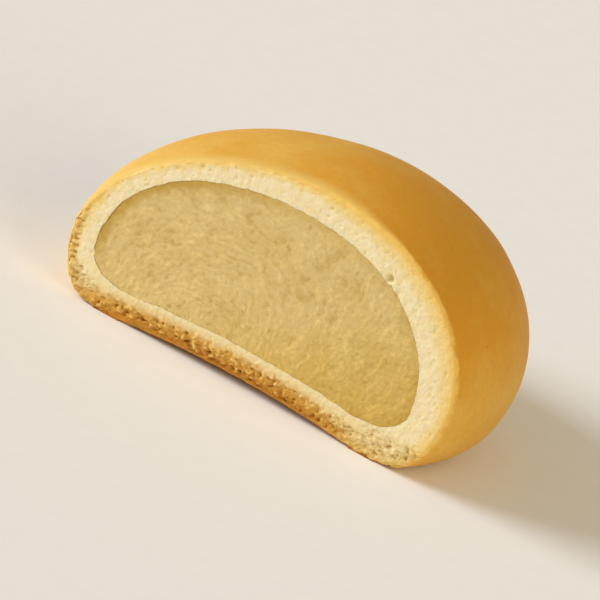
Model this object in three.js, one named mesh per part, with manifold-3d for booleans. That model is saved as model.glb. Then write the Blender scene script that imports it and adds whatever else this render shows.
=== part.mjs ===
// A baked manju with one side cut away: a round domed bun, its crust of baked dough wrapped
// round a core of smooth bean paste that shows at the cut.
// Millimetres, +Z up. The cut faces -Y, and the origin is under the middle of the piece, on the table.

import * as THREE from 'three';
import { mergeVertices } from 'three/addons/utils/BufferGeometryUtils.js';
import Module from 'manifold-3d';

// The whole bun.
const BUN_DIAMETER = 52;
const BUN_HEIGHT = 26.3;
const WIDEST_HEIGHT = 8; // height of its widest ring
const BASE_RADIUS = 20.6; // outer edge of the flat ring that it stands on
const DISH_RADIUS = 17.8; // inside this the base is hollow
const DISH_DEPTH = 1.2; // rise of the base at its middle
const DOME_POWER = 1.93; // 2 is an ellipse, more is fuller
const FLANK_POWER = 2.15;

// The paste core, by the thickness of dough round it.
const SIDE_CRUST = 3.5;
const TOP_CRUST = 3.4;
const BOTTOM_CRUST = 3.5;
const CORE_WIDEST_HEIGHT = 7.5;
const CORE_BASE_RADIUS = 17.7;
const CORE_DISH_RADIUS = 17;
const CORE_DOME_POWER = 2.1;
const CORE_FLANK_POWER = 2.35;
const SEAM_GAP = 0.3; // between core and crust

// How the bun is out of true: its heights grow towards +X, and its sides lean.
const HEIGHT_GAIN = 0.113 / BUN_DIAMETER;
const CRUST_LEAN = 0.039;
const CORE_LEAN = -0.036;

// The cut: an upright plane this far in front of the bun's axis.
const CUT_DISTANCE = 9.5;

// Fineness of the facets.
const TURN_FACETS = 64;
const CORE_TURN_FACETS = 52;
const DISH_STEPS = 4;
const FLANK_STEPS = 8;
const DOME_STEPS = 14;
const QUARTER_TURN = Math.PI / 2;

const bunShape = {
  radius: BUN_DIAMETER / 2,
  top: BUN_HEIGHT,
  widest: WIDEST_HEIGHT,
  base: 0,
  baseRadius: BASE_RADIUS,
  dishRadius: DISH_RADIUS,
  domePower: DOME_POWER,
  flankPower: FLANK_POWER,
  lean: CRUST_LEAN,
  facets: TURN_FACETS,
};

// The core's outline, moved outwards by a margin: none for the paste, the seam gap for its cavity.
function coreShape(margin) {
  return {
    radius: BUN_DIAMETER / 2 - SIDE_CRUST + margin,
    top: BUN_HEIGHT - TOP_CRUST + margin,
    widest: CORE_WIDEST_HEIGHT,
    base: BOTTOM_CRUST - margin,
    baseRadius: CORE_BASE_RADIUS + margin,
    dishRadius: CORE_DISH_RADIUS,
    domePower: CORE_DOME_POWER,
    flankPower: CORE_FLANK_POWER,
    lean: CORE_LEAN,
    facets: CORE_TURN_FACETS,
  };
}

// The outline from the middle of the base to the top: a shallow dish, a flat ring, a rounded
// flank out to the widest ring, and a dome.
function profile(shape) {
  const points = [];
  for (let step = 0; step <= DISH_STEPS; step += 1) {
    const share = step / DISH_STEPS;
    points.push(new THREE.Vector2(
      share * shape.dishRadius,
      shape.base + DISH_DEPTH * (1 - share ** 2),
    ));
  }
  for (let step = 0; step <= FLANK_STEPS; step += 1) {
    const angle = QUARTER_TURN * (step / FLANK_STEPS);
    const outwards = Math.sin(angle) ** (2 / shape.flankPower);
    const upwards = 1 - Math.cos(angle) ** (2 / shape.flankPower);
    points.push(new THREE.Vector2(
      THREE.MathUtils.lerp(shape.baseRadius, shape.radius, outwards),
      THREE.MathUtils.lerp(shape.base, shape.widest, upwards),
    ));
  }
  for (let step = 1; step < DOME_STEPS; step += 1) {
    const angle = QUARTER_TURN * (step / DOME_STEPS);
    points.push(new THREE.Vector2(
      shape.radius * Math.cos(angle) ** (2 / shape.domePower),
      THREE.MathUtils.lerp(shape.widest, shape.top, Math.sin(angle) ** (2 / shape.domePower)),
    ));
  }
  points.push(new THREE.Vector2(0, shape.top));
  return points;
}

// The bun or its core as a closed surface standing upright on its own axis.
function turned(shape) {
  const geometry = new THREE.LatheGeometry(profile(shape), shape.facets);
  geometry.rotateX(QUARTER_TURN);
  const position = geometry.getAttribute('position');
  for (let i = 0; i < position.count; i += 1) {
    const x = position.getX(i);
    const z = position.getZ(i);
    position.setX(i, x + shape.lean * z);
    position.setZ(i, z * (1 + HEIGHT_GAIN * x));
  }
  return geometry;
}

// All that the cut takes away, as a block in front of the cut plane.
function cutAway() {
  const side = 2 * BUN_DIAMETER;
  const block = new THREE.BoxGeometry(side, side, side);
  block.translate(0, -CUT_DISTANCE - side / 2, 0);
  return block;
}

const wasm = await Module();
wasm.setup();

function solid(geometry) {
  geometry.deleteAttribute('normal');
  geometry.deleteAttribute('uv');
  const merged = mergeVertices(geometry);
  const triangles = [];
  const index = merged.index.array;
  for (let i = 0; i < index.length; i += 3) {
    const [a, b, c] = index.slice(i, i + 3);
    const hasArea = a !== b && b !== c && c !== a; // a lathe has none at its poles
    if (hasArea) triangles.push(a, b, c);
  }
  return new wasm.Manifold(new wasm.Mesh({
    numProp: 3,
    vertProperties: merged.getAttribute('position').array,
    triVerts: new Uint32Array(triangles),
  }));
}

function surface(manifold) {
  const mesh = manifold.getMesh();
  const geometry = new THREE.BufferGeometry();
  geometry.setAttribute('position', new THREE.BufferAttribute(mesh.vertProperties, 3));
  geometry.setIndex(new THREE.BufferAttribute(mesh.triVerts, 1));
  return geometry;
}

const knifeSide = solid(cutAway());

function makeCrust() {
  const cavity = solid(turned(coreShape(SEAM_GAP)));
  const crust = solid(turned(bunShape)).subtract(knifeSide).subtract(cavity);
  const material = new THREE.MeshStandardMaterial({ color: '#d9a04c', roughness: 0.6, metalness: 0 });
  const mesh = new THREE.Mesh(surface(crust), material);
  mesh.name = 'crust';
  return mesh;
}

function makeFilling() {
  const paste = solid(turned(coreShape(0))).subtract(knifeSide);
  const material = new THREE.MeshStandardMaterial({ color: '#d6b670', roughness: 0.75, metalness: 0 });
  const mesh = new THREE.Mesh(surface(paste), material);
  mesh.name = 'filling';
  return mesh;
}

const crust = makeCrust();
const manju = new THREE.Group();
manju.add(crust, makeFilling());

// The bun's axis moves so that the cut piece stands with its middle over the origin.
const extent = new THREE.Box3().setFromBufferAttribute(crust.geometry.getAttribute('position'));
const middle = extent.getCenter(new THREE.Vector3());
manju.position.set(-middle.x, -middle.y, -extent.min.z);

export default manju;
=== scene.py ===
import math

import bpy
from mathutils import Matrix, Vector


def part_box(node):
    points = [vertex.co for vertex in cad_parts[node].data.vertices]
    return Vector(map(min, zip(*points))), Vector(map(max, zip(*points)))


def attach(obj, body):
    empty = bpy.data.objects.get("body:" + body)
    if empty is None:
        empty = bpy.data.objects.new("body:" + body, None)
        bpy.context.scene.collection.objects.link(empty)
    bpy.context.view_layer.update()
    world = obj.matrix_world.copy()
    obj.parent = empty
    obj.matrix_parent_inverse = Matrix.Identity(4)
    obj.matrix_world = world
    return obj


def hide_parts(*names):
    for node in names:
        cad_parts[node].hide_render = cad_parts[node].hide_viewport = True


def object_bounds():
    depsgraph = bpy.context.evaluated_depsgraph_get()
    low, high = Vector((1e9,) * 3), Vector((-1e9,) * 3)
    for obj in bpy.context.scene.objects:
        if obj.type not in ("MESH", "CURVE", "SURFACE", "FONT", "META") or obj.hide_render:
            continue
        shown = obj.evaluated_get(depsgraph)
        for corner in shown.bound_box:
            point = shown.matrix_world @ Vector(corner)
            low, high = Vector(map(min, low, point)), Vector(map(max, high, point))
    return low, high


bl_info = {
    "name": "Cut baked manju",
    "version": (1, 0, 0),
    "blender": (4, 5, 0),
    "location": "3D View > Sidebar > Manju",
    "description": "Models a baked manju with one side cut away, and the stage that it stands on",
    "category": "Add Mesh",
}

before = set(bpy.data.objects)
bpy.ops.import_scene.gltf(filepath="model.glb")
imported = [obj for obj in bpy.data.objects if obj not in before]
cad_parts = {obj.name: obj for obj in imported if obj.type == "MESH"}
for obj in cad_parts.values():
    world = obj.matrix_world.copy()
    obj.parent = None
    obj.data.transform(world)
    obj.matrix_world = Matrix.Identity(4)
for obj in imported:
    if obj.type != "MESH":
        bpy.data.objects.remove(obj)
CAD_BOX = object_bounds()

MM = 0.001


def mm(*lengths):
    """Lengths in mm as metres."""
    return tuple(length * MM for length in lengths)


QUARTER_TURN = math.pi / 2

# Where the bun and its core stand in the frame.
CRUST_LOW, CRUST_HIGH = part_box("crust")
CORE_LOW, CORE_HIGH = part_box("filling")
BUN_RADIUS = (CRUST_HIGH.x - CRUST_LOW.x) / 2
CORE_RADIUS = (CORE_HIGH.x - CORE_LOW.x) / 2
CUT_Y = CRUST_LOW.y
AXIS_Y = CRUST_HIGH.y - BUN_RADIUS
CUT_FACING = Vector((0, -1, 0))

# Fineness of the meshes: facets round the axis, outline steps of the base, flank and dome, and
# the cells of the grids that the knife leaves. The bun's faces are divided again near the cut.
BUN_COLUMNS = 260
BUN_STEPS = (18, 20, 66)
CORE_COLUMNS = 200
CORE_STEPS = (12, 14, 40)
CRUMB_CELL = 0.1 * MM
PASTE_CELL = 0.115 * MM
RIM_REACH = 0.8 * MM
RIM_CUTS = 3

# The block that the knife takes away.
KNIFE_WIDTH = 2.2 * BUN_RADIUS
KNIFE_HEIGHT = 1.3 * CRUST_HIGH.z
KNIFE_DEPTH = 2 * BUN_RADIUS

# Corners closer than the weld are joined. The paste is smaller than its hollow by the seam's
# clearance. Crumb stands out of the cut by MOST_PROUD at most and stays clear of the table, and
# what lies lower than half of that clearance is the resting face, which is left as it is.
WELD = 0.001 * MM
SEAM_CLEARANCE = 0.01 * MM
MOST_PROUD = 0.15 * MM
TABLE_CLEARANCE = 0.01 * MM

# Gentle swellings of the skin and of the core: how wide they are, from where in the noise each
# takes its own, and the core's share of the skin's height. They set in between two heights.
SKIN_SWELLING = 11 * MM
SKIN_SHIFT = 0.2
CORE_SWELLING = 4 * MM
CORE_SHIFT = 0.5
CORE_SWELL_SHARE = 0.7
SWELLING_STARTS = mm(1.2, 4)

# A pair, here and below, says where a change begins and where it is complete: along X, in height
# over the base, or inwards from the skin, the seam or the cut.
ON_CUT = mm(0, 0.02)
BY_CUT = mm(0, 1.0)

# Torn dough. A patch has a pair along X, one in height and, at the -X end, one from the skin.
# Its relief gets shallower by the far corner. Its shreds reach that many times its depth.
BASE_TEAR_TOP = mm(1.8, 2.8)
END_TEAR = (mm(-22.5, -20), mm(8, 12), mm(0.7, 1.5))
NEAR_CORNER = (mm(-17.5, -15), mm(3.0, 4.6), mm(1.6, 2.6))
FAR_CORNER = (mm(14, 17), mm(2.6, 4.4))
SHALLOWER = mm(13, 18)
SHRED_REACH = 1.7

# The smooth skirt under it, pressed by the tray. Its top is in mm, and comes down along X.
SKIRT_TOP = (0.7, 1.2)
SKIRT_LOWERS = mm(-13, -8)
SKIRT_LOWER_SHARE = 0.42
SKIRT_STARTS = mm(-17.5, -15.5)
SKIRT_ENDS = mm(10, 17)

# How the torn dough is browned: up from the base, and along X.
BROWNING_TOP = mm(-0.3, 3.6)
BROWNING_STARTS = mm(-20, -15)
BROWNING_ENDS = mm(7, 18)

# The wandering line where dough and paste meet, and a small pit in the dough beside it.
SEAM_REACH = mm(0.3, 1.3)
SEAM_DEPTH = mm(0.1, 1.2)
SEAM_WANDER = 0.45 * MM
NOTCH = (12.3 * MM, CUT_Y, 19.6 * MM)
NOTCH_EDGE = mm(0.1, 0.55)
NOTCH_DEPTH = 0.4 * MM

# The knife's strokes in the paste: arcs round one point, which turn upright further along X.
STROKE_CENTRE = (-7 * MM, CUT_Y, 1 * MM)
STROKE_RADIUS = 12 * MM
STROKES_TURN = mm(3, 15)
STROKE_WIDTH = 0.52 * MM
STROKE_LENGTH = 1.5 * MM

# The paste's softened edge, and the stretch along X over which it comes up level with the dough.
PASTE_ROUND = mm(0, 0.25)
PASTE_ROUND_DEPTH = 0.015 * MM
RECESS_ENDS = mm(-20, 10)

# The stage, in metres: a floor that runs on to the horizon, and how near and far is seen.
FLOOR_SIZE = 60
NEAREST_SEEN = 0.05
FARTHEST_SEEN = 50

# The way to each light, by the camera's right, up and backward directions.
TO_KEY = (-0.73, 0.65, 0.1)
TO_FILL = (0.6, -0.1, 0.8)


# ---------------------------------------------------------------- what a user would change


def a_length(name, description, default):
    return bpy.props.FloatProperty(
        name=name, description=description, default=default, unit="LENGTH", precision=5)


def a_colour(name, description, default):
    return bpy.props.FloatVectorProperty(
        name=name, description=description, default=default, subtype="COLOR")


def an_angle(name, description, degrees):
    return bpy.props.FloatProperty(
        name=name, description=description, default=math.radians(degrees), subtype="ANGLE")


def a_number(name, description, default):
    return bpy.props.FloatProperty(name=name, description=description, default=default)


class ManjuShape(bpy.types.PropertyGroup):
    """Sizes of the whole bun and its core. What they leave open, the frame gives."""

    height: a_length("Bun height", "Height of the bun over its axis", 26.3 * MM)
    widest: a_length("Widest height", "Height at which the bun is widest", 8 * MM)
    base_radius: a_length(
        "Base radius", "Outer edge of the flat ring that the bun stands on", 20.6 * MM)
    dish_radius: a_length("Dish radius", "Inside this the base is hollow", 17.8 * MM)
    dish_depth: a_length("Dish depth", "Rise of the base at its middle", 1.2 * MM)
    dome_power: a_number("Dome fullness", "2 is an ellipse, more is fuller", 1.93)
    flank_power: a_number("Flank fullness", "2 is an ellipse, more is fuller", 2.15)
    lean: a_number("Lean", "How far the crust leans towards +X for each unit of height", 0.039)
    height_gain: a_number(
        "Height gain", "Share by which heights grow from the axis to the +X side", 0.0565)
    core_top: a_length("Core top", "Height of the paste over the axis", 22.9 * MM)
    core_widest: a_length("Core widest height", "Height at which the paste is widest", 7.5 * MM)
    core_bottom: a_length("Core bottom", "Thickness of the crust under the paste", 3.5 * MM)
    core_base_radius: a_length(
        "Core base radius", "Outer edge of the flat under the paste", 17.7 * MM)
    core_dish_radius: a_length(
        "Core dish radius", "Inside this the paste is hollow underneath", 17 * MM)
    core_dome_power: a_number("Core dome fullness", "2 is an ellipse, more is fuller", 2.1)
    core_flank_power: a_number("Core flank fullness", "2 is an ellipse, more is fuller", 2.35)
    core_lean: a_number(
        "Core lean", "How far the core leans towards +X for each unit of height", -0.036)


class ManjuFinish(bpy.types.PropertyGroup):
    """Textures and colours of the dough and the paste."""

    unevenness: a_length("Unevenness", "How far the skin swells and sinks", 0.22 * MM)
    rim_round: a_length(
        "Rim rounding", "Radius of the edge between the skin and the cut", 0.4 * MM)
    crumb_depth: a_length("Crumb depth", "Depth of the pores in the cut dough", 0.075 * MM)
    coarse_depth: a_length(
        "Coarse crumb depth", "Depth of the torn crumb by the browned base", 0.3 * MM)
    smear_depth: a_length(
        "Smear depth", "Depth of the strokes that the knife leaves in the paste", 0.055 * MM)
    recess: a_length(
        "Paste recess", "How far the paste lies behind the crust at its -X side", 0.05 * MM)
    skin: a_colour("Skin", "Golden skin at the top of the dome", (0.735, 0.338, 0.029))
    skin_pale: a_colour("Pale skin", "Skin of the flank, browned less", (0.80, 0.512, 0.115))
    rim: a_colour("Rim", "Thin golden line between the skin and the crumb", (0.90, 0.58, 0.15))
    crumb: a_colour("Crumb", "Pale inside of the dough, next to the paste", (0.92, 0.795, 0.53))
    crumb_outer: a_colour(
        "Outer crumb", "Inside of the dough, towards the skin", (0.89, 0.69, 0.30))
    # Used for the crumb's uneven grain, and as painted shade deep in its pores.
    crumb_shade: a_colour(
        "Crumb shade", "Colour deep in the pores of the crumb", (0.66, 0.45, 0.17))
    toast: a_colour("Toasted dough", "Torn dough just over the browned base", (0.70, 0.385, 0.078))
    base: a_colour("Browned base", "Dough next to the baking tray", (0.49, 0.19, 0.018))
    paste: a_colour("Paste", "Bean paste", (0.69, 0.51, 0.212))
    paste_moist: a_colour("Moist paste", "Bean paste towards the lower +X side", (0.63, 0.42, 0.10))
    # In the paste's hollows this colour is painted shade.
    paste_edge: a_colour(
        "Paste edge", "Bean paste along the crust, and in its hollows", (0.51, 0.305, 0.05))


class ManjuStage(bpy.types.PropertyGroup):
    """Floor, light and camera."""

    floor_colour: a_colour("Floor", "Pale floor", (0.95, 0.93, 0.97))
    backdrop: a_colour("Backdrop", "What shows beyond the floor", (0.783, 0.73, 0.651))
    key_strength: a_number("Key light", "Strength of the main soft light", 3.05)
    key_tint: a_colour("Key tint", "Cool white of the main soft light", (0.92, 0.97, 1.0))
    fill_strength: a_number(
        "Fill light", "Strength of the weak warm light across from it", 0.95)
    fill_tint: a_colour("Fill tint", "Yellow of the weak warm light", (1.0, 0.91, 0.55))
    softness: an_angle("Softness", "How wide the lights look from the bun", 36)
    sky: a_number("Sky", "Strength of the even light from all round", 0.39)
    sky_tint: a_colour("Sky tint", "Warm white of the even light", (1.0, 0.88, 0.66))
    azimuth: an_angle(
        "Azimuth", "Turn of the camera round the bun, from the front of the cut", 19.7)
    elevation: an_angle("Elevation", "Height angle of the camera", 21.3)
    roll: an_angle("Roll", "Tip of the camera to its side", 21.1)
    shift_right: a_length(
        "Aim to the right", "From the bun's middle to where the camera looks", -5.0 * MM)
    shift_up: a_length(
        "Aim upwards", "From the bun's middle to where the camera looks", -5.7 * MM)
    distance: a_length("Camera distance", "From the camera to where it looks", 572 * MM)
    lens: a_number("Lens", "Focal length on a 36 mm sensor", 310)


# ---------------------------------------------------------------- modelling by hand


def enter(mode):
    bpy.ops.object.mode_set(mode=mode)


def select_all():
    """Selects all of the mesh that is being edited."""
    bpy.ops.mesh.select_all(action="SELECT")


def deselect_all():
    """Selects nothing, in object mode."""
    if bpy.context.object and bpy.context.object.mode != "OBJECT":
        enter("OBJECT")
    bpy.ops.object.select_all(action="DESELECT")


def pick(piece):
    """Makes piece the only selected object, and the active one."""
    deselect_all()
    piece.select_set(True)
    bpy.context.view_layer.objects.active = piece


def edit_all(piece):
    pick(piece)
    enter("EDIT")
    select_all()


def apply_modifiers(piece):
    pick(piece)
    for modifier in list(piece.modifiers):
        bpy.ops.object.modifier_apply(modifier=modifier.name)


def copy_of(piece, name):
    pick(piece)
    bpy.ops.object.duplicate()
    twin = bpy.context.object
    twin.name = name
    twin.data.name = name
    return twin


def remove(*helpers):
    for helper in helpers:
        pick(helper)
        bpy.ops.object.delete()


def outline(radius, top, widest, base, base_radius, dish_radius, dish_depth, dome, flank, steps):
    """Points (distance from the axis, height) from the middle of the base to the top."""
    dish_steps, flank_steps, dome_steps = steps
    points = []
    for step in range(dish_steps + 1):
        share = step / dish_steps
        points.append((share * dish_radius, base + dish_depth * (1 - share**2)))
    for step in range(flank_steps + 1):
        angle = QUARTER_TURN * step / flank_steps
        outwards = math.sin(angle) ** (2 / flank)
        upwards = 1 - math.cos(angle) ** (2 / flank)
        points.append((
            base_radius + (radius - base_radius) * outwards,
            base + (widest - base) * upwards,
        ))
    for step in range(1, dome_steps):
        angle = QUARTER_TURN * step / dome_steps
        points.append((
            radius * math.cos(angle) ** (2 / dome),
            widest + (top - widest) * math.sin(angle) ** (2 / dome),
        ))
    points.append((0, top))
    return points


def turned(name, points, columns, axis_x):
    """A closed body of revolution: one corner drawn along the outline, then spun round the axis."""
    axis = Vector((axis_x, AXIS_Y, 0))
    start = axis + Vector((points[0][0], 0, points[0][1]))
    deselect_all()
    bpy.ops.mesh.primitive_plane_add(size=MM, location=start)
    body = bpy.context.object
    body.name = name
    bpy.ops.object.transform_apply(location=True)
    enter("EDIT")
    bpy.ops.mesh.merge(type="CENTER")
    for (radius, height), (next_radius, next_height) in zip(points, points[1:]):
        step = (next_radius - radius, 0, next_height - height)
        bpy.ops.mesh.extrude_vertices_move(TRANSFORM_OT_translate={"value": step})
    select_all()
    bpy.ops.mesh.spin(steps=columns, angle=math.tau, center=axis, axis=(0, 0, 1))
    select_all()
    bpy.ops.mesh.remove_doubles(threshold=WELD)
    bpy.ops.mesh.normals_make_consistent(inside=False)
    enter("OBJECT")
    return body


def put_out_of_true(body, axis_x, height, lean, height_gain):
    """Leans the body and lets its heights grow towards +X, by the top corners of a lattice."""
    deselect_all()
    middle = Vector((axis_x, AXIS_Y, height / 2))
    bpy.ops.object.add(type="LATTICE", location=middle)
    cage = bpy.context.object
    cage.scale = (2 * BUN_RADIUS, 2 * BUN_RADIUS, height)
    for name in ("interpolation_type_u", "interpolation_type_v", "interpolation_type_w"):
        setattr(cage.data, name, "KEY_LINEAR")
    for side in (-1, 1):
        enter("OBJECT")
        for point in cage.data.points:
            point.select = point.co.z > 0 and point.co.x * side > 0
        enter("EDIT")
        bpy.ops.transform.translate(value=(lean * height, 0, side * height_gain * height))
    enter("OBJECT")
    body.modifiers.new("lattice", "LATTICE").object = cage
    apply_modifiers(body)
    remove(cage)


def refine_by_cut(body):
    """Divides the body's faces finely in a strip on both sides of the cut."""
    edit_all(body)
    for side in (-RIM_REACH, RIM_REACH):
        select_all()
        bpy.ops.mesh.bisect(plane_co=(0, CUT_Y + side, 0), plane_no=(0, 1, 0))
    bpy.ops.mesh.select_all(action="DESELECT")
    enter("OBJECT")
    for face in body.data.polygons:
        face.select = abs(face.center.y - CUT_Y) < RIM_REACH
    enter("EDIT")
    bpy.ops.mesh.subdivide(number_cuts=RIM_CUTS)
    enter("OBJECT")


def knife_block(cell):
    """All that the cut takes away. The side that faces the bun is a fine even grid."""
    deselect_all()
    bpy.ops.mesh.primitive_grid_add(
        x_subdivisions=round(KNIFE_WIDTH / cell), y_subdivisions=round(KNIFE_HEIGHT / cell),
        size=1, rotation=(QUARTER_TURN, 0, 0), location=(0, CUT_Y, CRUST_HIGH.z / 2))
    block = bpy.context.object
    block.scale = (KNIFE_WIDTH, KNIFE_HEIGHT, 1)
    bpy.ops.object.transform_apply(location=True, rotation=True, scale=True)
    edit_all(block)
    bpy.ops.mesh.extrude_region_move(
        TRANSFORM_OT_translate={"value": KNIFE_DEPTH * CUT_FACING})
    bpy.ops.mesh.dissolve_faces()
    select_all()
    bpy.ops.mesh.normals_make_consistent(inside=False)
    enter("OBJECT")
    return block


def subtract(body, *tools):
    for tool in tools:
        modifier = body.modifiers.new("subtract", "BOOLEAN")
        modifier.operation = "DIFFERENCE"
        modifier.solver = "MANIFOLD"
        modifier.object = tool
    apply_modifiers(body)


# ---------------------------------------------------------------- recipes made of nodes


class Recipe:
    """Adds nodes to a tree and joins them, so that a finish reads as one step after another."""

    def __init__(self, tree):
        self.tree = tree

    def node(self, kind, inputs=(), **settings):
        """A node with its settings. Its inputs, by name or number, are values, sockets or nodes,
        and a node stands for its first output."""
        made = self.tree.nodes.new(kind)
        for name, value in settings.items():
            setattr(made, name, value)
        for key, value in dict(inputs).items():
            if isinstance(value, bpy.types.NodeSocket):
                self.tree.links.new(value, made.inputs[key])
            elif isinstance(value, bpy.types.Node):
                self.tree.links.new(value.outputs[0], made.inputs[key])
            else:
                made.inputs[key].default_value = value
        return made

    def math(self, operation, *values):
        return self.node("ShaderNodeMath", enumerate(values), operation=operation)

    def vector(self, operation, *values):
        return self.node("ShaderNodeVectorMath", enumerate(values), operation=operation)

    def chain(self, operation, first, *others):
        """first and the others, joined one after another by the operation."""
        for other in others:
            first = self.math(operation, first, other)
        return first

    def product(self, *values):
        return self.chain("MULTIPLY", *values)

    def total(self, *values):
        return self.chain("ADD", *values)

    def largest(self, *values):
        return self.chain("MAXIMUM", *values)

    def difference(self, first, second):
        return self.math("SUBTRACT", first, second)

    def rest(self, share):
        """What share leaves of 1."""
        return self.difference(1.0, share)

    def in_mm(self, metres):
        return self.math("DIVIDE", metres, MM)

    def about_zero(self, value, size):
        """A value from 0 to 1 as one from minus size to size."""
        return self.product(self.difference(value, 0.5), 2 * size)

    def scaled(self, vector, amount):
        return self.node("ShaderNodeVectorMath", {0: vector, "Scale": amount}, operation="SCALE")

    def length(self, vector):
        return self.node("ShaderNodeVectorMath", {0: vector}, operation="LENGTH").outputs["Value"]

    def axes(self, vector):
        return self.node("ShaderNodeSeparateXYZ", {0: vector}).outputs

    def ramp(self, value, low, high, start=0.0, end=1.0):
        """start where value is low, end where it is high, and a smooth change between them."""
        return self.node(
            "ShaderNodeMapRange", {0: value, 1: low, 2: high, 3: start, 4: end},
            interpolation_type="SMOOTHSTEP")

    def fall(self, value, low, high):
        """1 where value is low, 0 where it is high, and a smooth change between them."""
        return self.ramp(value, low, high, 1.0, 0.0)

    def noise(self, place, grain, detail=2.0, rough=0.5):
        """Soft noise from 0 to 1, whose lumps are about half a grain wide."""
        return self.node("ShaderNodeTexNoise", {
            "Vector": place, "Scale": 1 / grain, "Detail": detail, "Roughness": rough})

    def ripple(self, place, grain, size, detail=2.0, rough=0.5):
        """Soft noise from minus size to size."""
        return self.about_zero(self.noise(place, grain, detail, rough), size)

    def jitter(self, place, grain, detail=2.0):
        """Soft noise as a vector, each part of it from -0.5 to 0.5."""
        noise = self.noise(place, grain, detail)
        return self.vector("SUBTRACT", noise.outputs[1], (0.5, 0.5, 0.5))

    def bent(self, place, grain, reach, detail=2.0):
        """place, pushed about by soft noise, up to half of reach each way."""
        return self.vector("ADD", place, self.scaled(self.jitter(place, grain, detail), reach))

    def cells(self, place, grain):
        """Distance to the nearest cell middle, 0 to about 1, and that cell's own colour."""
        made = self.node("ShaderNodeTexVoronoi", {"Vector": place, "Scale": 1 / grain})
        return made, made.outputs[1]

    def blend(self, share, first, second):
        """Colour first where share is 0, second where it is 1."""
        return self.node(
            "ShaderNodeMix", {0: share, 6: first, 7: second}, data_type="RGBA").outputs[2]


def colour(rgb):
    return (*rgb, 1.0)


def shade(rgb, share):
    return colour([share * part for part in rgb])


def geometry_recipe(piece, build):
    """Runs build, which takes a Recipe and a geometry and returns one, as a modifier on piece."""
    tree = bpy.data.node_groups.new(piece.name, "GeometryNodeTree")
    tree.interface.new_socket("Geometry", in_out="INPUT", socket_type="NodeSocketGeometry")
    tree.interface.new_socket("Geometry", in_out="OUTPUT", socket_type="NodeSocketGeometry")
    recipe = Recipe(tree)
    entry = recipe.node("NodeGroupInput")
    recipe.node("NodeGroupOutput", {0: build(recipe, entry)})
    piece.modifiers.new("recipe", "NODES").node_group = tree
    apply_modifiers(piece)
    bpy.data.node_groups.remove(tree)


def position_of(recipe):
    return recipe.node("GeometryNodeInputPosition")


def moved(recipe, geometry, offset):
    return recipe.node("GeometryNodeSetPosition", {"Geometry": geometry, "Offset": offset})


def stored(recipe, geometry, values):
    """The geometry with each value kept on its points, under its name, for the finishes."""
    for name, value in values.items():
        geometry = recipe.node(
            "GeometryNodeStoreNamedAttribute",
            {"Geometry": geometry, "Name": name, "Value": value},
            data_type="FLOAT", domain="POINT")
    return geometry


def surface_of(recipe, body):
    return recipe.node("GeometryNodeObjectInfo", {"Object": body}).outputs["Geometry"]


def distance_to(recipe, body, place):
    """How far place is from the surface of body, in metres."""
    return recipe.node(
        "GeometryNodeProximity", {0: surface_of(recipe, body), "Sample Position": place},
        target_element="FACES").outputs["Distance"]


def normal_of(recipe):
    return recipe.node("GeometryNodeInputNormal")


def nearest_normal(recipe, body, place):
    """The normal of body where it is nearest to place."""
    return recipe.node(
        "GeometryNodeSampleNearestSurface",
        {"Mesh": surface_of(recipe, body), "Value": normal_of(recipe), "Sample Position": place},
        data_type="FLOAT_VECTOR")


# ---------------------------------------------------------------- the bun's solids


def constant(recipe, vector):
    return recipe.node("FunctionNodeInputVector", vector=vector)


def behind_cut(recipe, place):
    """How far place lies behind the plane of the cut, in metres."""
    return recipe.difference(recipe.axes(place)[1], CUT_Y)


def on_cut(recipe, place):
    """1 on the flat face of the cut, 0 behind it."""
    return recipe.fall(behind_cut(recipe, place), *ON_CUT)


def over_base(recipe, place, shape):
    """Height over the hollow underside of the bun, in metres."""
    out = recipe.vector("SUBTRACT", place, (0, AXIS_Y, 0))
    out = recipe.vector("MULTIPLY", out, (1, 1, 0))
    share = recipe.math("DIVIDE", recipe.length(out), shape.dish_radius)
    rise = recipe.largest(recipe.rest(recipe.product(share, share)), 0.0)
    return recipe.difference(recipe.axes(place)[2], recipe.product(rise, shape.dish_depth))


def swell(piece, amount, grain, shift):
    """Lets the surface swell and sink gently, as risen dough does. The resting face stays flat."""

    def build(recipe, geometry):
        place = position_of(recipe)
        shifted = recipe.vector("ADD", place, (shift, 0, 0))
        height = recipe.product(
            recipe.ripple(shifted, grain, amount, detail=1.0),
            recipe.ramp(recipe.axes(place)[2], *SWELLING_STARTS))
        return moved(recipe, geometry, recipe.scaled(normal_of(recipe), height))

    geometry_recipe(piece, build)


def whole_bun(shape, finish):
    """The bun before it is cut."""
    axis_x = -shape.lean * shape.widest
    points = outline(
        BUN_RADIUS, shape.height, shape.widest, 0, shape.base_radius, shape.dish_radius,
        shape.dish_depth, shape.dome_power, shape.flank_power, BUN_STEPS)
    bun = turned("bun", points, BUN_COLUMNS, axis_x)
    put_out_of_true(bun, axis_x, shape.height, shape.lean, shape.height_gain)
    swell(bun, finish.unevenness, SKIN_SWELLING, SKIN_SHIFT)
    refine_by_cut(bun)
    return bun


def whole_core(shape, finish):
    """The core of paste before it is cut, which is also the hollow in the dough."""
    axis_x = -shape.lean * shape.widest
    points = outline(
        CORE_RADIUS, shape.core_top, shape.core_widest, shape.core_bottom,
        shape.core_base_radius, shape.core_dish_radius, shape.dish_depth,
        shape.core_dome_power, shape.core_flank_power, CORE_STEPS)
    core = turned("core", points, CORE_COLUMNS, axis_x)
    put_out_of_true(core, axis_x, shape.core_top, shape.core_lean, shape.height_gain)
    swell(core, CORE_SWELL_SHARE * finish.unevenness, CORE_SWELLING, CORE_SHIFT)
    return core


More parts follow.
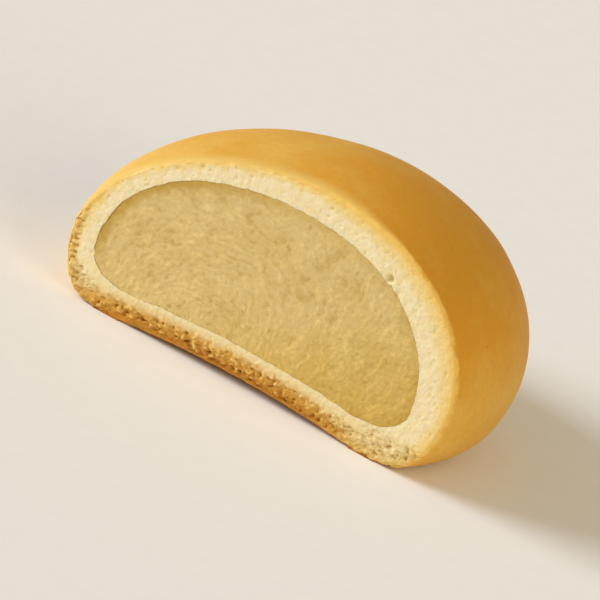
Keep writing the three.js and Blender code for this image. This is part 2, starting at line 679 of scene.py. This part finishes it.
def round_rim(recipe, bun, place, depth, size):
    """The offset that turns the sharp edge between skin and cut into a small uneven arc."""
    uneven = recipe.ramp(recipe.noise(place, 1.5 * MM, detail=3.0), 0.3, 0.7, 0.75, 1.3)
    radius = recipe.product(uneven, size)
    inwards = recipe.largest(recipe.difference(radius, depth), 0.0)
    backwards = recipe.largest(recipe.difference(radius, behind_cut(recipe, place)), 0.0)
    squares = recipe.total(recipe.product(inwards, inwards), recipe.product(backwards, backwards))
    reach = recipe.largest(recipe.math("SQRT", squares), radius)
    share = recipe.rest(recipe.math("DIVIDE", radius, reach))
    share = recipe.product(share, recipe.math("GREATER_THAN", inwards, 0.0))
    inward = recipe.scaled(
        nearest_normal(recipe, bun, place), recipe.product(inwards, share, -1.0))
    backward = recipe.scaled(constant(recipe, -CUT_FACING), recipe.product(backwards, share))
    return recipe.vector("ADD", inward, backward)


def uneven_seam(recipe, place, seam):
    """The offset, alike for dough and paste, that makes the line between them wander."""
    near = recipe.product(
        recipe.fall(seam, *SEAM_REACH), recipe.fall(behind_cut(recipe, place), *SEAM_DEPTH))
    drift = recipe.vector("MULTIPLY", recipe.jitter(place, 1.3 * MM, detail=3.0), (1, 0, 1))
    return recipe.scaled(drift, recipe.product(near, SEAM_WANDER))


def torn_shares(recipe, place, depth, over):
    """Where the cut dough is torn, and how far it is browned: two values from 0 to 1."""
    x = recipe.axes(place)[0]
    drift = recipe.ripple(place, 1.1 * MM, 0.6 * MM, detail=3.0)
    height = recipe.total(over, drift)
    inwards = recipe.total(depth, drift)

    def patch(along, up, from_skin):
        """1 in a patch that starts at the -X end and lies against the skin, 0 outside it."""
        return recipe.product(
            recipe.fall(x, *along), recipe.fall(height, *up), recipe.fall(inwards, *from_skin))

    up_the_end = patch(*END_TEAR)
    corner_along, corner_up = FAR_CORNER
    torn = recipe.largest(
        recipe.fall(height, *BASE_TEAR_TOP), up_the_end, patch(*NEAR_CORNER),
        recipe.product(recipe.ramp(x, *corner_along), recipe.fall(height, *corner_up)))
    skirt = recipe.in_mm(recipe.total(over, recipe.product(drift, 0.4)))
    skirt = recipe.math("DIVIDE", skirt, recipe.ramp(x, *SKIRT_LOWERS, 1.0, SKIRT_LOWER_SHARE))
    pressed = recipe.product(
        recipe.fall(skirt, *SKIRT_TOP), recipe.ramp(x, *SKIRT_STARTS),
        recipe.fall(x, *SKIRT_ENDS))
    torn = recipe.product(torn, recipe.rest(recipe.product(pressed, 0.9)))
    browned = recipe.product(
        recipe.fall(height, *BROWNING_TOP), recipe.ramp(x, *BROWNING_STARTS, 0.55, 1.0),
        recipe.ramp(x, *BROWNING_ENDS, 1.0, 0.1))
    return torn, recipe.largest(browned, recipe.product(up_the_end, 0.12))


def pores(recipe, place, grain, wide, share):
    """1 at the middle of each pore, 0 between pores. Only a share of the cells has one."""
    distance, own = recipe.cells(recipe.bent(place, 0.8 * grain, 0.9 * grain), grain)
    pit = recipe.fall(distance, 0.25 * wide, wide)
    return recipe.product(pit, recipe.math("LESS_THAN", recipe.axes(own)[0], share))


def ragged_crumb(recipe, place):
    """Relief of torn dough, about -1 to 1: soft lumps with pits between, drawn out along X."""
    place = recipe.vector("MULTIPLY", place, (0.6, 1.0, 1.0))
    distance, own = recipe.cells(recipe.bent(place, 0.5 * MM, 0.8 * MM, detail=3.0), 0.5 * MM)
    size = recipe.ramp(recipe.axes(own)[1], 0.0, 1.0, 0.35, 1.0)
    return recipe.total(
        recipe.ripple(place, 0.4 * MM, 0.9, detail=4.0, rough=0.7),
        recipe.product(recipe.fall(distance, 0.1, 0.75), size),
        recipe.product(pores(recipe, place, 0.7 * MM, 0.5, 0.4), -0.8),
        recipe.product(pores(recipe, place, 0.45 * MM, 0.5, 0.5), -0.7))


def soft_crumb(recipe, place):
    """Relief of whole dough: small soft lumps, with pores of two sizes."""
    return recipe.total(
        recipe.ripple(place, 0.75 * MM, 1.3, detail=5.0, rough=0.7),
        recipe.product(pores(recipe, place, 0.95 * MM, 0.42, 0.5), -0.9),
        recipe.product(pores(recipe, place, 0.5 * MM, 0.5, 0.55), -0.5))


def notch(recipe, place):
    """1 in the small pit beside the paste, 0 outside it."""
    away = recipe.length(recipe.vector("SUBTRACT", place, NOTCH))
    away = recipe.total(away, recipe.ripple(place, 0.5 * MM, 0.25 * MM))
    return recipe.fall(away, *NOTCH_EDGE)


def crumb_relief(recipe, place, depth, torn, ragged, finish):
    """How far the dough stands out of the cut, in metres."""
    coarse = recipe.product(
        recipe.difference(ragged, 0.35), torn, finish.coarse_depth,
        recipe.ramp(recipe.axes(place)[0], *SHALLOWER, 1.0, 0.75))
    relief = recipe.total(
        recipe.product(soft_crumb(recipe, place), recipe.rest(torn), finish.crumb_depth),
        coarse, recipe.product(notch(recipe, place), -NOTCH_DEPTH))
    off_skin = recipe.largest(recipe.ramp(depth, 0.0, 0.5 * MM), recipe.product(torn, 0.8))
    return recipe.product(relief, off_skin, on_cut(recipe, place))


def crumb_texture(crust, bun, core, shape, finish):
    """Rounds the rim, opens the crumb's pores and tears the browned dough by the base."""

    def build(recipe, geometry):
        place = position_of(recipe)
        depth = distance_to(recipe, bun, place)
        over = over_base(recipe, place, shape)
        torn, browned = torn_shares(recipe, place, depth, over)
        ragged = ragged_crumb(recipe, place)
        relief = crumb_relief(recipe, place, depth, torn, ragged, finish)
        by_cut = recipe.fall(behind_cut(recipe, place), *BY_CUT)
        geometry = stored(recipe, geometry, {
            "depth": recipe.in_mm(depth),
            "over": recipe.in_mm(over),
            "torn": recipe.product(torn, by_cut),
            "browned": recipe.product(browned, by_cut),
            "relief": recipe.math("DIVIDE", relief, 0.1 * MM),
            "ragged": ragged,
        })
        shreds = recipe.scaled(
            recipe.jitter(place, 0.8 * MM, detail=3.0),
            recipe.product(torn, by_cut, SHRED_REACH * finish.coarse_depth))
        target = recipe.vector("ADD", place, recipe.scaled(constant(recipe, CUT_FACING), relief))
        for offset in (
            round_rim(recipe, bun, place, depth, finish.rim_round),
            uneven_seam(recipe, place, distance_to(recipe, core, place)),
            shreds,
        ):
            target = recipe.vector("ADD", target, offset)
        target = recipe.vector(
            "MAXIMUM", target, (-2 * BUN_RADIUS, CUT_Y - MOST_PROUD, TABLE_CLEARANCE))
        free = recipe.math("GREATER_THAN", recipe.axes(place)[2], TABLE_CLEARANCE / 2)
        return recipe.node("GeometryNodeSetPosition", {
            "Geometry": geometry, "Position": target, "Selection": free})

    geometry_recipe(crust, build)


def knife_strokes(recipe, place):
    """Fine curved ridges left by the knife: arcs on the -X side, upright on the +X side."""
    x, _, z = recipe.axes(recipe.vector("SUBTRACT", place, STROKE_CENTRE))
    radius = recipe.math("SQRT", recipe.total(recipe.product(x, x), recipe.product(z, z)))
    upright = recipe.product(
        recipe.ramp(x, *STROKES_TURN, 0.0, -0.6), recipe.difference(z, STROKE_RADIUS))
    across = recipe.total(
        radius, upright, recipe.ripple(place, 5 * MM, 1.6 * MM),
        recipe.ripple(place, 0.9 * MM, 0.3 * MM))
    along = recipe.product(recipe.math("ARCTAN2", z, x), STROKE_RADIUS)
    by_stroke = recipe.node("ShaderNodeCombineXYZ", {
        0: recipe.product(across, 1 / STROKE_WIDTH),
        1: recipe.product(along, 1 / STROKE_LENGTH)})
    return recipe.ripple(by_stroke, 1.0, 0.9)


def smeared_paste(recipe, place):
    """Relief of the cut paste: more strokes towards the upper -X side, more grains opposite."""
    x, _, z = recipe.axes(place)
    grains = recipe.ramp(recipe.difference(x, z), *mm(-16, 8), 0.6, 1.3)
    return recipe.total(
        recipe.product(knife_strokes(recipe, place), recipe.difference(2.2, grains)),
        recipe.product(recipe.ripple(place, 0.55 * MM, 1.7, detail=4.0, rough=0.75), grains),
        recipe.ripple(place, 3 * MM, 1.2),
        recipe.product(pores(recipe, place, 1.5 * MM, 0.26, 0.35), -1.0))


def paste_texture(paste, core, finish):
    """Drags the knife's fine strokes over the paste and sinks its -X side behind the crust."""

    def build(recipe, geometry):
        place = position_of(recipe)
        seam = distance_to(recipe, core, place)
        texture = smeared_paste(recipe, place)
        rounded = recipe.product(recipe.fall(seam, *PASTE_ROUND), PASTE_ROUND_DEPTH)
        sunk = recipe.product(recipe.fall(recipe.axes(place)[0], *RECESS_ENDS), finish.recess)
        inward = recipe.difference(
            recipe.total(rounded, sunk), recipe.product(texture, finish.smear_depth))
        inward = recipe.product(inward, on_cut(recipe, place))
        geometry = stored(recipe, geometry, {"seam": recipe.in_mm(seam), "relief": texture})
        return moved(recipe, geometry, recipe.vector(
            "ADD", recipe.scaled(constant(recipe, -CUT_FACING), inward),
            uneven_seam(recipe, place, seam)))

    geometry_recipe(paste, build)


# ---------------------------------------------------------------- finishes


def new_material(name, build):
    """A material whose shader build sets, from a Recipe and a point on the piece in metres."""
    material = bpy.data.materials.new(name)
    material.use_nodes = True
    tree = material.node_tree
    tree.nodes.clear()
    recipe = Recipe(tree)
    place = recipe.node("ShaderNodeTexCoord").outputs["Object"]
    recipe.node("ShaderNodeOutputMaterial", {"Surface": build(recipe, place)})
    return material


def attribute(recipe, name):
    return recipe.node("ShaderNodeAttribute", attribute_name=name).outputs["Fac"]


def bumped(recipe, height, distance):
    return recipe.node("ShaderNodeBump", {"Height": height, "Distance": distance})


def pinholes(recipe, place):
    """1 in the few fine holes of the skin, 0 around them."""
    return pores(recipe, place, 2.3 * MM, 0.09, 0.3)


def skin_colour(recipe, place, finish):
    """Golden skin: browner over the dome, browner towards +X as partly painted shade, paler down
    the flank, lightly clouded.
    """
    x, _, height = recipe.axes(place)
    browning_and_shade = recipe.total(
        recipe.ramp(height, *mm(3, 21), 0.0, 0.75),
        # Towards +X, the side away from the light, the browning is partly painted shade.
        recipe.ramp(x, *mm(-12, 14), -0.2, 0.3),
        recipe.ripple(place, 8 * MM, 0.6, detail=3.0), recipe.ripple(place, 3 * MM, 0.25))
    skin = recipe.blend(browning_and_shade, colour(finish.skin_pale), colour(finish.skin))
    speckle = recipe.noise(place, 0.7 * MM, detail=4.0, rough=0.65)
    skin = recipe.blend(recipe.ramp(speckle, 0.35, 0.7, 0.0, 0.25), skin, shade(finish.skin, 0.8))
    # Painted shade in the skin's fine pinholes.
    pinhole_shade = recipe.product(pinholes(recipe, place), 0.5)
    return recipe.blend(pinhole_shade, skin, shade(finish.skin, 0.45))


def base_colour(recipe, place, finish):
    """Browned underside, mottled as dough is where it touched the tray."""
    patches = recipe.noise(place, 1.7 * MM, detail=4.0, rough=0.6)
    return recipe.blend(
        recipe.ramp(patches, 0.3, 0.7), shade(finish.base, 0.72), shade(finish.base, 1.25))


def rim_colour(recipe, place, finish):
    """Golden edge between skin and cut, darker on the -X side, which faces the light: painted shade
    that tones down its highlight.
    """
    # Painted shade on the -X side, where the light falls strongest on the rounded rim.
    side = recipe.ramp(recipe.axes(place)[0], *mm(-6, 8))
    return recipe.blend(side, shade(finish.rim, 0.85), colour(finish.rim))


def whole_crumb_colour(recipe, place, over, depth, relief, finish):
    """Cream crumb, yellower towards the skin and the base, with painted shade in its pores."""
    x = recipe.axes(place)[0]
    grain = recipe.noise(place, 0.5 * MM, detail=4.0, rough=0.65)
    drift = recipe.total(
        recipe.ripple(place, 1.3 * MM, 0.6, detail=3.0, rough=0.6),
        recipe.about_zero(grain, 0.3), recipe.ramp(relief, -1.2, 0.4, -0.3, 0.1))
    width = recipe.product(
        recipe.ramp(x, *mm(-6, 18), 0.43, 1.0), recipe.ramp(over, 6.0, 13.0, 0.75, 1.0),
        recipe.ramp(x, *mm(-23.5, -20.5), 2.4, 1.0))
    inwards = recipe.math("DIVIDE", recipe.total(depth, drift), width)
    outer = colour(finish.crumb_outer)
    crumb = recipe.blend(recipe.ramp(inwards, 1.3, 2.5), outer, colour(finish.crumb))
    flecks = recipe.noise(place, 0.9 * MM, detail=3.0, rough=0.6)
    crumb = recipe.blend(recipe.ramp(flecks, 0.46, 0.68, 0.0, 0.5), crumb, outer)
    crumb = recipe.blend(
        recipe.ramp(inwards, 0.25, 1.25), rim_colour(recipe, place, finish), crumb)
    low = recipe.ramp(recipe.total(over, drift), 2.2, 4.5, 0.5, 0.0)
    crumb = recipe.blend(low, crumb, shade(finish.crumb_outer, 0.9))
    in_grain = recipe.ramp(grain, 0.35, 0.7, 0.0, 0.2)
    # Painted shade deep in the pores; the grain above is the crumb's own uneven tone.
    pore_shade = recipe.ramp(relief, -1.6, -0.3, 0.5, 0.0)
    for share in (in_grain, pore_shade):
        crumb = recipe.blend(share, crumb, colour(finish.crumb_shade))
    return crumb


def crumb_colour(recipe, place, over, depth, finish):
    """The cut dough: cream crumb, browned by the base, golden on torn lumps with some painted
    highlight, painted shade in the pits.
    """
    relief = attribute(recipe, "relief")
    browned = attribute(recipe, "browned")
    ragged = attribute(recipe, "ragged")
    torn = attribute(recipe, "torn")
    toast = colour(finish.toast)
    crumb = whole_crumb_colour(recipe, place, over, depth, relief, finish)
    toasted = recipe.blend(recipe.ramp(browned, 0.5, 0.95), toast, colour(finish.base))
    crumb = recipe.blend(recipe.ramp(browned, 0.0, 0.5), crumb, toasted)
    lump = recipe.blend(
        recipe.ramp(depth, 0.3, 1.2), rim_colour(recipe, place, finish),
        colour(finish.crumb_outer))
    # Torn lumps that stand out turn golden, and lighter on browned dough: partly painted highlight.
    lump_highlight = recipe.product(recipe.ramp(ragged, 0.25, 1.0), torn, 0.65)
    crumb = recipe.blend(lump_highlight, crumb, lump)
    # Painted shade: pits between the lumps darken towards toast and deep brown.
    pit = recipe.blend(recipe.ramp(browned, 0.1, 0.7), toast, shade(finish.base, 0.7))
    sunk = recipe.product(
        recipe.fall(ragged, -0.7, 0.05), torn, recipe.ramp(browned, 0.1, 0.4, 0.55, 0.9))
    return recipe.blend(sunk, crumb, pit)


def crust_colour(recipe, place, depth, finish):
    """Skin outside, with its golden rim and browned foot, and cut dough where depth is over 0."""
    x = recipe.axes(place)[0]
    over = attribute(recipe, "over")
    base = base_colour(recipe, place, finish)
    wander = recipe.ripple(place, 1.2 * MM, 0.3, detail=3.0)
    foot = recipe.total(over, wander)
    skin = recipe.blend(recipe.fall(foot, 0.1, 0.55), skin_colour(recipe, place, finish), base)
    behind = recipe.total(recipe.in_mm(behind_cut(recipe, place)), wander)
    reach = recipe.ramp(x, *mm(2, 16), 2.0, 0.4)
    by_rim = recipe.product(
        recipe.fall(recipe.math("DIVIDE", behind, reach), 0.1, 1.1), recipe.ramp(over, 0.5, 2.0))
    skin = recipe.blend(by_rim, skin, rim_colour(recipe, place, finish))
    baked = recipe.product(
        recipe.fall(foot, 0.55, 1.05),
        recipe.ramp(x, *mm(-18, -16), 0.2, 1.0),
        recipe.ramp(x, *mm(-12, -3), 0.9, 0.3),
        recipe.ramp(x, *mm(8, 18), 1.0, 0.2))
    inside = recipe.blend(
        baked, crumb_colour(recipe, place, over, depth, finish),
        recipe.blend(0.3, base, colour(finish.toast)))
    return recipe.blend(recipe.ramp(depth, 0.02, 0.2), skin, inside)


def crust_bump(recipe, place, cut):
    """Fine grain: soft with pinholes on the skin, rougher at the cut, roughest where it is torn."""
    skin_bump = recipe.total(
        recipe.noise(place, 0.35 * MM, detail=4.0, rough=0.6),
        recipe.product(recipe.noise(place, 1.6 * MM), 1.2),
        recipe.product(pinholes(recipe, place), -1.6))
    crumb_bump = recipe.product(
        recipe.noise(place, 0.2 * MM, detail=4.0, rough=0.7),
        recipe.ramp(attribute(recipe, "torn"), 0.0, 1.0, 4.0, 9.0))
    return recipe.total(
        recipe.product(skin_bump, recipe.rest(cut)), recipe.product(crumb_bump, cut))


def crust_material(finish):
    """Matt dough: a faint sheen on the skin, none on the crumb."""

    def build(recipe, place):
        depth = attribute(recipe, "depth")
        cut = recipe.ramp(depth, 0.05, 0.4)
        return recipe.node("ShaderNodeBsdfPrincipled", {
            "Base Color": crust_colour(recipe, place, depth, finish),
            "Roughness": recipe.ramp(cut, 0.0, 1.0, 0.56, 0.85),
            "IOR": 1.4,
            "Specular IOR Level": 0.25,
            "Subsurface Weight": 0.12,
            "Subsurface Radius": (1.0, 0.55, 0.22),
            "Subsurface Scale": 1.0 * MM,
            "Normal": bumped(recipe, crust_bump(recipe, place, cut), 0.012 * MM),
        })

    return new_material("baked crust", build)


def along_crust(recipe, place):
    """How dark the paste is along the crust: most at the upper -X side, less at the lower +X."""
    x, _, z = recipe.axes(place)
    upper = recipe.product(
        recipe.ramp(x, *mm(-15, 3), 0.85, 0.25), recipe.ramp(z, *mm(4, 8)))
    lower = recipe.ramp(recipe.difference(x, z), *mm(3, 13), 0.0, 0.5)
    seam = recipe.total(attribute(recipe, "seam"), recipe.ripple(place, 1.1 * MM, 0.4))
    return recipe.product(recipe.fall(seam, 0.2, 1.5), recipe.largest(upper, lower))


def paste_colour(recipe, place, grain, finish):
    """Paste, moister at the lower +X side, lighter on its ridges and darker in its hollows: partly
    painted highlight and shade.
    """
    x, _, z = recipe.axes(place)
    relief = recipe.product(attribute(recipe, "relief"), 1.3)
    lower_side = recipe.difference(x, recipe.product(z, 2.0))
    moist = recipe.total(
        recipe.ramp(lower_side, *mm(-22, 4), 0.0, 0.9),
        recipe.ripple(place, 4.5 * MM, 0.5, detail=3.0))
    paste = recipe.blend(moist, colour(finish.paste), colour(finish.paste_moist))
    lit = recipe.blend(moist, shade(finish.paste, 1.25), shade(finish.paste_moist, 1.3))
    # Painted highlight on the ridges of the relief, mixed with the paste's own grain.
    ridges = recipe.total(relief, recipe.about_zero(grain, 1.5))
    paste = recipe.blend(recipe.ramp(ridges, -0.1, 1.7, 0.0, 0.9), paste, lit)
    # Painted shade in the hollows of the relief, mixed with uneven tone.
    hollows = recipe.total(relief, recipe.ripple(place, 0.8 * MM, 1.8, detail=3.0, rough=0.6))
    hollow_shade = recipe.ramp(hollows, -1.7, 0.1, 0.6, 0.0)
    for share in (hollow_shade, along_crust(recipe, place)):
        paste = recipe.blend(share, paste, colour(finish.paste_edge))
    return paste


def paste_material(finish):
    """Smooth moist paste, a little shinier than the crumb."""

    def build(recipe, place):
        grain = recipe.noise(place, 0.4 * MM, detail=4.0, rough=0.7)
        return recipe.node("ShaderNodeBsdfPrincipled", {
            "Base Color": paste_colour(recipe, place, grain, finish),
            "Roughness": 0.62,
            "IOR": 1.42,
            "Specular IOR Level": 0.3,
            "Subsurface Weight": 0.12,
            "Subsurface Radius": (1.0, 0.6, 0.25),
            "Subsurface Scale": 0.8 * MM,
            "Normal": bumped(recipe, grain, 0.04 * MM),
        })

    return new_material("bean paste", build)


def floor_material(stage):
    """Plain pale floor, barely grained."""

    def build(recipe, place):
        grain = recipe.noise(place, 3 * MM, detail=5.0)
        tone = recipe.blend(
            recipe.ramp(grain, 0.3, 0.7), colour(stage.floor_colour),
            shade(stage.floor_colour, 0.985))
        return recipe.node("ShaderNodeBsdfPrincipled", {
            "Base Color": tone, "Roughness": 0.9, "Specular IOR Level": 0.0,
            "Normal": bumped(recipe, grain, 0.02 * MM)})

    return new_material("pale floor", build)


def dress(piece, material):
    piece.data.materials.clear()
    piece.data.materials.append(material)


# ---------------------------------------------------------------- operators


def finished(piece, node, material):
    """Gives the piece its finish, smooth shading and place under the root body, and hides the CAD
    node that it stands for.
    """
    dress(piece, material)
    pick(piece)
    bpy.ops.object.shade_smooth()
    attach(piece, "root")
    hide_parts(node)


class MANJU_OT_crust(bpy.types.Operator):
    """Models the baked crust: golden skin, pale crumb at the cut and torn dough by the base"""

    bl_idname = "manju.crust"
    bl_label = "Baked crust"

    def execute(self, context):
        shape = context.scene.manju_shape
        finish = context.scene.manju_finish
        bun = whole_bun(shape, finish)
        core = whole_core(shape, finish)
        knife = knife_block(CRUMB_CELL)
        crust = copy_of(bun, "baked_crust")
        subtract(crust, knife, core)
        crumb_texture(crust, bun, core, shape, finish)
        remove(bun, core, knife)
        finished(crust, "crust", crust_material(finish))
        return {"FINISHED"}


class MANJU_OT_paste(bpy.types.Operator):
    """Models the bean paste that fills the crust, smeared by the knife at the cut"""

    bl_idname = "manju.paste"
    bl_label = "Bean paste"

    def execute(self, context):
        shape = context.scene.manju_shape
        finish = context.scene.manju_finish
        core = whole_core(shape, finish)
        knife = knife_block(PASTE_CELL)
        paste = copy_of(core, "bean_paste")
        edit_all(paste)
        bpy.ops.transform.shrink_fatten(value=-SEAM_CLEARANCE)
        enter("OBJECT")
        subtract(paste, knife)
        paste_texture(paste, core, finish)
        remove(core, knife)
        finished(paste, "filling", paste_material(finish))
        return {"FINISHED"}


class MANJU_OT_stage(bpy.types.Operator):
    """Makes the pale floor, the soft light and the camera"""

    bl_idname = "manju.stage"
    bl_label = "Stage"

    def execute(self, context):
        stage = context.scene.manju_stage
        deselect_all()
        bpy.ops.mesh.primitive_plane_add(size=FLOOR_SIZE)
        floor = context.object
        floor.name = "floor"
        dress(floor, floor_material(stage))
        axes = self.camera_axes(stage)
        self.camera(stage, *axes)
        self.soft_light("key", axes, TO_KEY, stage.key_strength, stage.key_tint)
        self.soft_light("fill", axes, TO_FILL, stage.fill_strength, stage.fill_tint)
        self.surroundings(stage)
        context.scene.view_settings.view_transform = "Standard"
        return {"FINISHED"}

    def camera_axes(self, stage):
        """The camera's right, up and backward directions, tipped by the roll."""
        forwards = math.cos(stage.elevation)
        back = Vector((
            math.sin(stage.azimuth) * forwards, -math.cos(stage.azimuth) * forwards,
            math.sin(stage.elevation)))
        level = Vector((math.cos(stage.azimuth), math.sin(stage.azimuth), 0))
        upright = back.cross(level)
        right = math.cos(stage.roll) * level + math.sin(stage.roll) * upright
        return right, back.cross(right), back

    def camera(self, stage, right, up, back):
        """The camera that frames the bun, looking against back."""
        low, high = CAD_BOX
        aim = (low + high) / 2 + stage.shift_right * right + stage.shift_up * up
        bpy.ops.object.camera_add(location=aim + stage.distance * back)
        camera = bpy.context.object
        camera.data.lens = stage.lens
        camera.data.clip_start = NEAREST_SEEN
        camera.data.clip_end = FARTHEST_SEEN
        camera.matrix_world = Matrix.Translation(camera.location) @ Matrix(
            (right, up, back)).transposed().to_4x4()
        bpy.context.scene.camera = camera

    def surroundings(self, stage):
        """Even warm light from all round, and a pale backdrop that only the camera sees."""
        world = bpy.data.worlds.new("sky")
        bpy.context.scene.world = world
        world.use_nodes = True
        world.node_tree.nodes.clear()
        recipe = Recipe(world.node_tree)
        light = recipe.node("ShaderNodeBackground", {
            "Color": colour(stage.sky_tint), "Strength": stage.sky})
        backdrop = recipe.node("ShaderNodeBackground", {"Color": colour(stage.backdrop)})
        seen = recipe.node("ShaderNodeLightPath").outputs["Is Camera Ray"]
        shader = recipe.node("ShaderNodeMixShader", {0: seen, 1: light, 2: backdrop})
        recipe.node("ShaderNodeOutputWorld", {"Surface": shader})

    def soft_light(self, name, axes, shares, strength, tint):
        """A wide light that is alike everywhere. The shares of the axes say where it is."""
        direction = Vector()
        for axis, share in zip(axes, shares):
            direction += share * axis
        bpy.ops.object.light_add(
            type="SUN", location=direction, rotation=direction.to_track_quat("Z", "Y").to_euler())
        light = bpy.context.object
        light.name = name
        light.data.energy = strength
        light.data.angle = bpy.context.scene.manju_stage.softness
        light.data.color = tint


class MANJU_PT_sidebar(bpy.types.Panel):
    """Sizes, finishes and the operators that make the manju"""

    bl_idname = "MANJU_PT_sidebar"
    bl_label = "Cut baked manju"
    bl_space_type = "VIEW_3D"
    bl_region_type = "UI"
    bl_category = "Manju"

    def draw(self, context):
        for group in (
            context.scene.manju_shape, context.scene.manju_finish, context.scene.manju_stage,
        ):
            box = self.layout.box()
            for name in group.bl_rna.properties.keys():
                if name not in ("rna_type", "name"):
                    box.prop(group, name)
        for operator in OPERATORS:
            self.layout.operator(operator.bl_idname)


GROUPS = {"manju_shape": ManjuShape, "manju_finish": ManjuFinish, "manju_stage": ManjuStage}
OPERATORS = (MANJU_OT_crust, MANJU_OT_paste, MANJU_OT_stage)


def register():
    for made in (*GROUPS.values(), *OPERATORS, MANJU_PT_sidebar):
        bpy.utils.register_class(made)
    for name, group in GROUPS.items():
        setattr(bpy.types.Scene, name, bpy.props.PointerProperty(type=group))


def unregister():
    for name in GROUPS:
        delattr(bpy.types.Scene, name)
    for made in reversed((*GROUPS.values(), *OPERATORS, MANJU_PT_sidebar)):
        bpy.utils.unregister_class(made)


def main():
    register()
    bpy.ops.manju.crust()
    bpy.ops.manju.paste()
    bpy.ops.manju.stage()


if __name__ == "__main__":
    main()
